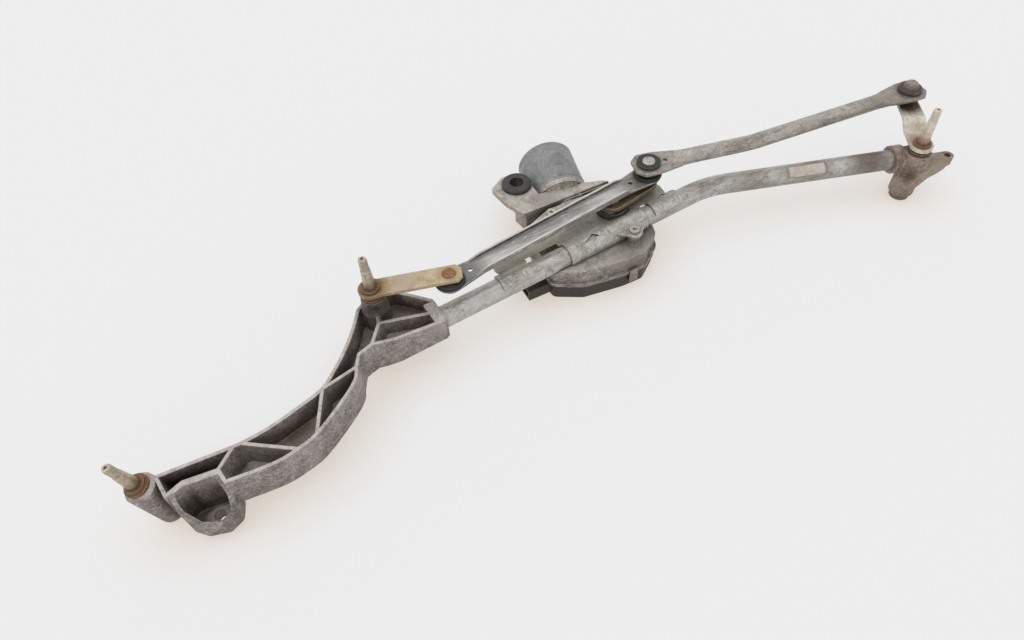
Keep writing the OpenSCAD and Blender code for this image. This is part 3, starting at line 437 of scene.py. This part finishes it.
# Left lever: flat steel bar, pressed on its spindle and riveted to the ball, with spring rings on the boss.
# Yellow passivation gives it a pale gold skin with little shine, brown with rust round the spindle.
gold_lever = weathered(
    "yellow passivated lever steel", colour="#c4b08d", rubbed_and_lit="#ddd0b4", grime_and_shade="#9f8765", metallic=0.3,
    roughness=0.42, patch_mm=18, grit_mm=1.3, grain=0.25,
    marks=(((-208, 41, 88), 22, "#7a5132", 0.9), ((-176, 32, 88), 18, "#b0a08e", 0.6),
            ((-134, 21, 88), 13, "#94795a", 0.5)))
# The coppered rivet is red-brown, the turned spindles are pale yellow, and the rings are rusty all over.
rubbed_rivet = weathered(
    "coppered rivet", colour="#9b6d4d", rubbed_and_lit="#c8a07a", grime_and_shade="#5b3d29", metallic=0.6, roughness=0.4,
    patch_mm=6, grit_mm=0.9, shade_and_dirt=0.8, hollow_mm=3)
passivated_spindle = weathered(
    "yellow passivated spindle steel", colour="#c2b7a3", rubbed_and_lit="#e8e1d3", grime_and_shade="#8b7456", metallic=0.6,
    roughness=0.34, patch_mm=7, grit_mm=0.8,
    marks=(((-208, 41, 92), 11, "#6d4a2e", 0.85), ((416, -51, 79), 11, "#875541", 0.8),
            ((-456, -46, 68), 12, "#6d5335", 0.8), ((416, -51, 108), 24, "#e3dacd", 0.65)))
rusty_ring = weathered(
    "rusty spring steel", colour="#86603f", rubbed_and_lit="#b3957a", grime_and_shade="#47301f", metallic=0.35,
    roughness=0.55, patch_mm=5, grit_mm=0.8)
dress("left_lever", gold_lever, round_mm=0.5)
dress("lever_rivet", rubbed_rivet, round_mm=0.4)
dress("left_spindle", passivated_spindle)
dress("left_rings", rusty_ring, round_mm=0.4)
turned("lever_rivet_rings", LEVER_BALL, (bead(4.9, 90.0, 0.45), bead(2.4, 90.0, 0.35)),
       rubbed_rivet, "left_lever")


def thread(name, base_mm, axis, body):
    """Rolled thread of 1.25 mm pitch on a spindle tip, fading out at both ends."""
    length, pitch, crest, root, half = 13.2, 1.25, 4.3, 3.9, 0.5
    corners, per_turn, fading = 3, 24, 16
    steps = int(per_turn * (length - 2 * half) / pitch)
    upright = Vector(axis).normalized()
    across = upright.orthogonal().normalized()
    beside = upright.cross(across)
    points, faces = [], []
    for i in range(steps + 1):
        angle = 2 * math.pi * i / per_turn
        fade = min(1.0, i / fading, (steps - i) / fading)
        outward = across * math.cos(angle) + beside * math.sin(angle)
        rise = half + pitch * i / per_turn
        for radius, shift in ((root, -half), (root + (crest - root) * fade, 0.0), (root, half)):
            points.append(Vector(base_mm) + outward * radius + upright * (rise + shift))
    for i in range(steps):
        for j in range(corners):
            a, b = corners * i + j, corners * i + (j + 1) % corners
            faces.append((a, a + corners, b + corners, b))
    last = corners * steps
    faces += [(0, 1, 2), (last + 2, last + 1, last)]
    piece(name, points, faces, passivated_spindle, body, smooth=False)


UPRIGHT = (0, 0, 1)
LEFT_THREAD_BASE = (-208, 41, 114.4)
thread("left_spindle_thread", LEFT_THREAD_BASE, UPRIGHT, "left_lever")

# Right lever: joggled steel bar, pressed on its spindle, with the ball of the right link in its end. The
# passivated skin has faded to a pale cream, with old grease under the link and rust by the spindle.
faded_lever = weathered(
    "faded passivated lever steel", colour="#dcd7cb", rubbed_and_lit="#f3efe6", grime_and_shade="#97866e", metallic=0.3,
    roughness=0.4, patch_mm=13, grit_mm=1.2,
    marks=(((446, 2, 80), 22, "#54412f", 1.0), ((418, -46, 74), 17, "#85543f", 0.75),
            ((430, -26, 76), 10, "#a58f74", 0.5)))
dress("right_lever", faded_lever, round_mm=0.5)
dress("right_spindle", passivated_spindle)
dress("right_rings", rusty_ring, round_mm=0.4)
RIGHT_THREAD_BASE = (416, -51, 105.4)
thread("right_spindle_thread", RIGHT_THREAD_BASE, UPRIGHT, "right_lever")

# Right link: round steel bar with flattened eyes and a nylon cap over each ball. The galvanised skin is grey,
# with long smudges, and painted shade darkens it low on its sides.
galvanised_rod = weathered(
    "galvanised steel bar", colour="#b0aba4", rubbed_and_lit="#d9d5cf", grime_and_shade="#665c52", metallic=0.45,
    roughness=0.42, patch_mm=13, grit_mm=1.4, lengthwise=0.3, grain=0.24, darker_below=(85, 97, 0.7),
    marks=(((454, 14, 93), 22, "#635853", 0.85), ((410, 16, 91), 40, "#857b73", 0.5),
            ((121, 57, 92), 22, "#86827c", 0.6)))
# The caps are moulded in black nylon, which road dirt has turned brown and matt on the right.
# The pale spot on top of the right cap's dome is a painted highlight.
dirty_cap = weathered(
    "dirty cap nylon", colour="#4b403c", rubbed_and_lit="#7d706b", grime_and_shade="#332927", metallic=0.0, roughness=0.5,
    patch_mm=9, grit_mm=1.0,
    marks=(((120.8, 56.8, 90), 30, "#2d2b2b", 1.0), ((454, 14, 106), 12, "#9a8c85", 0.9)))
dress("right_link", galvanised_rod)
dress("right_link_sockets", dirty_cap, round_mm=0.6)
dress("upper_ball_stud", ground_steel, round_mm=0.4)
# The upper stud has turned rings on its head, and each cap has moulded ridges. The right cap also has a low
# dome with a dimple.
turned("upper_stud_rings", CRANK_PIN, (bead(4.8, 97.0, 0.5), bead(2.2, 97.0, 0.4)),
       ground_steel, "right_link")
turned("upper_socket_ribs", CRANK_PIN, (bead(13.9, 85.4, 0.6), bead(14.5, 87.6, 0.6)),
       dirty_cap, "right_link")
DOME_BASE, DOME_RADIUS, DOME_RISE, DIMPLE = 100.4, 7.4, 4.6, 1.2
DOME_END, DOME_STEPS = math.radians(80), 10
dome_turns = [DOME_END * j / DOME_STEPS for j in range(DOME_STEPS + 1)]
cap_dome = [(DIMPLE, DOME_BASE)] + [
    (DOME_RADIUS * math.cos(turn), DOME_BASE + DOME_RISE * math.sin(turn)) for turn in dome_turns]
turned("right_cap_ribs", RIGHT_BALL, (bead(12.9, 94.6, 0.5), bead(10.4, 96.8, 0.5), cap_dome),
       dirty_cap, "right_link")

# Idle spindle: turned steel like the other two, with the same cone and rolled thread. It runs in the leaning
# boss of the left bracket, held by spring rings.
IDLE_LEAN = math.radians(11)
IDLE_AXIS = Vector((-math.sin(IDLE_LEAN), 0.0, math.cos(IDLE_LEAN)))
IDLE_BASE, IDLE_THREAD_RISE = Vector((-455, -46, 60)), 27.4
dress("idle_spindle", passivated_spindle)
dress("idle_rings", rusty_ring, round_mm=0.4)
thread("idle_spindle_thread", IDLE_BASE + IDLE_THREAD_RISE * IDLE_AXIS, IDLE_AXIS, "idle_spindle")

# Studio: one sheet of matt paper, an even sky and one very soft lamp from behind on the left. The paper
# gives part of its own light, which keeps shadows faint, and a warm shade is painted on it where the part is
# close to it.
BACKGROUND, WARM_SHADE = "#eeeeee", "#ece2d8"
SKY_LEVEL, GLOW = 0.79, 0.72
FLOOR_HALF, FLOOR_LEVEL, SHADE_REACH = 6.0, -0.0004, 0.06
floor_mesh = bpy.data.meshes.new("floor")
floor_mesh.from_pydata(
    [(x * FLOOR_HALF, y * FLOOR_HALF, FLOOR_LEVEL) for x, y in ((-1, -1), (1, -1), (1, 1), (-1, 1))],
    [], [(0, 1, 2, 3)])
floor = bpy.data.objects.new("floor", floor_mesh)
bpy.context.scene.collection.objects.link(floor)
paper = bpy.data.materials.new("matt white paper")
paper.use_nodes = True
paper_shader = paper.node_tree.nodes["Principled BSDF"]
paper_shader.inputs["Roughness"].default_value = 0.9
paper_shader.inputs["Specular IOR Level"].default_value = 0.0
near_part = add(paper, "ShaderNodeAmbientOcclusion", {"Distance": SHADE_REACH}, samples=8).outputs["AO"]
# Painted shade: where the part is near, the paper's colour turns warm.
painted_shade_share = add(paper, "ShaderNodeMapRange", {
    "Value": near_part, "From Min": 1.0, "From Max": 0.4}).outputs[0]
paper_with_painted_shade = add(paper, "ShaderNodeMix", {
    0: painted_shade_share, 6: linear(BACKGROUND), 7: linear(WARM_SHADE)}, data_type="RGBA").outputs[2]
paper_shader.inputs["Emission Strength"].default_value = GLOW
lit_share = add(paper, "ShaderNodeMix", {
    0: GLOW, 6: paper_with_painted_shade, 7: (0, 0, 0, 1)}, data_type="RGBA").outputs[2]
paper.node_tree.links.new(lit_share, paper_shader.inputs["Base Color"])
paper.node_tree.links.new(paper_with_painted_shade, paper_shader.inputs["Emission Color"])
floor_mesh.materials.append(paper)

# The sky lights the part evenly. The camera, and metal that mirrors the sky, see the backdrop's colour.
world = bpy.data.worlds.new("studio sky")
bpy.context.scene.world = world
world.use_nodes = True
world.node_tree.nodes.clear()
path = add(world, "ShaderNodeLightPath", {})
seen = add(world, "ShaderNodeMath", {
    0: path.outputs["Is Camera Ray"], 1: path.outputs["Is Glossy Ray"]}, operation="MAXIMUM").outputs[0]
seen = add(world, "ShaderNodeMath", {
    0: seen, 1: path.outputs["Is Transmission Ray"]}, operation="MAXIMUM").outputs[0]
even_light = add(world, "ShaderNodeBackground", {
    "Color": (1, 1, 1, 1), "Strength": SKY_LEVEL}).outputs[0]
backdrop = add(world, "ShaderNodeBackground", {
    "Color": linear(BACKGROUND), "Strength": 1.0}).outputs[0]
chosen = add(world, "ShaderNodeMixShader", {0: seen, 1: even_light, 2: backdrop}).outputs[0]
add(world, "ShaderNodeOutputWorld", {"Surface": chosen})

# The lamp is a wide sun, so its shadows have soft edges.
LAMP_DIRECTION = Vector((0.3, -0.15, -1.0))
lamp = bpy.data.lights.new("soft lamp", "SUN")
lamp.energy = 0.62
lamp.angle = math.radians(60)
lamp_object = bpy.data.objects.new("soft lamp", lamp)
bpy.context.scene.collection.objects.link(lamp_object)
lamp_object.rotation_mode = "QUATERNION"
lamp_object.rotation_quaternion = LAMP_DIRECTION.to_track_quat("-Z", "Y")

# The camera's place and axes are fitted to the photograph's view.
CAMERA_PLACE = (-0.280, -0.450, 0.62)
RIGHT, DOWN = Vector((0.8885, -0.4566, -0.0443)), Vector((-0.3817, -0.6824, -0.6234))
FORWARD = Vector((0.2544, 0.5709, -0.7806))
camera = bpy.data.cameras.new("camera")
camera.sensor_width = 36.0
camera.lens = 26.016
camera.clip_start = 0.01
camera_object = bpy.data.objects.new("camera", camera)
bpy.context.scene.collection.objects.link(camera_object)
camera_object.matrix_world = Matrix.Translation(CAMERA_PLACE) @ Matrix(
    (RIGHT, -DOWN, -FORWARD)).transposed().to_4x4()
bpy.context.scene.camera = camera_object
bpy.context.scene.view_settings.view_transform = "Standard"
